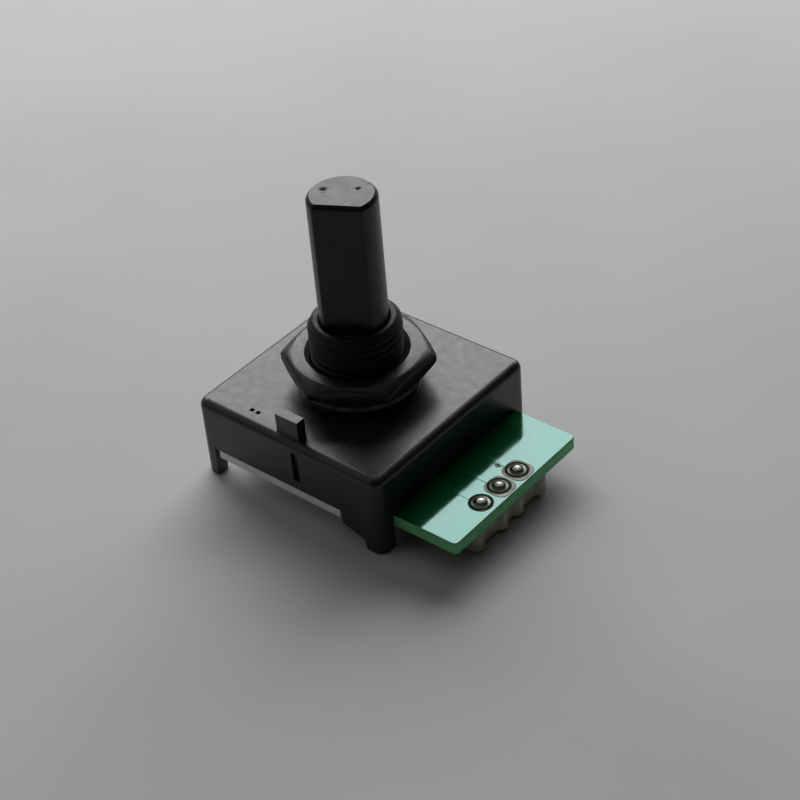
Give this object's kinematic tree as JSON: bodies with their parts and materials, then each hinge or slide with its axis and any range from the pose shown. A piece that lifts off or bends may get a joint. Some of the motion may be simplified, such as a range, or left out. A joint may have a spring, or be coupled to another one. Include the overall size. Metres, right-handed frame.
{
  "type": "rotary encoder",
  "caption": "Panel-mount rotary encoder: square housing, threaded bushing with nut and washer, D shaft that turns without end, circuit board tongue with terminals.",
  "frame": {"origin": "on the shaft axis, at the rear face of the back plate", "axes": "+Z along the shaft towards its free end, +X out of the side where the board leaves the housing"},
  "size_m": [0.0271, 0.0206, 0.0269],
  "materials": {
    "housing_plastic": "satin moulded black",
    "bushing_plastic": "satin moulded black",
    "shaft_plastic": "satin moulded black",
    "blackened_metal": "semi-gloss black",
    "natural_plastic": "natural moulded",
    "pin_strip_plastic": "natural moulded, slightly aged",
    "spring_steel": "rolled strip",
    "plate_steel": "dull tinned sheet",
    "phosphor_bronze": "bright strip",
    "gold_plate": "plated",
    "green_board": "glossy green solder mask",
    "solder": "reflowed tin",
    "tinned_pin": "tinned"
  },
  "bodies": {
    "base": {"housing_shell": "housing_plastic", "threaded_bushing": "bushing_plastic", "flat_washer": "blackened_metal", "hex_nut": "blackened_metal", "thrust_washer": "natural_plastic", "detent_spring": "spring_steel", "code_track_common": "gold_plate", "code_track_a": "gold_plate", "code_track_b": "gold_plate", "pcb": "green_board", "back_plate": "plate_steel", "terminal_base": "pin_strip_plastic", "solder_joint_1": "solder", "solder_joint_2": "solder", "solder_joint_3": "solder", "terminal_pin_1": "tinned_pin", "terminal_pin_2": "tinned_pin", "terminal_pin_3": "tinned_pin"},
    "rotor": {"shaft": "shaft_plastic", "detent_rotor": "natural_plastic", "contact_wiper": "phosphor_bronze"}
  },
  "joints": [
    {"name": "shaft_spin", "type": "hinge", "parent": "base", "child": "rotor", "pos_m": [0, 0, 0], "axis": [0, 0, 1], "continuous": true}
  ]
}
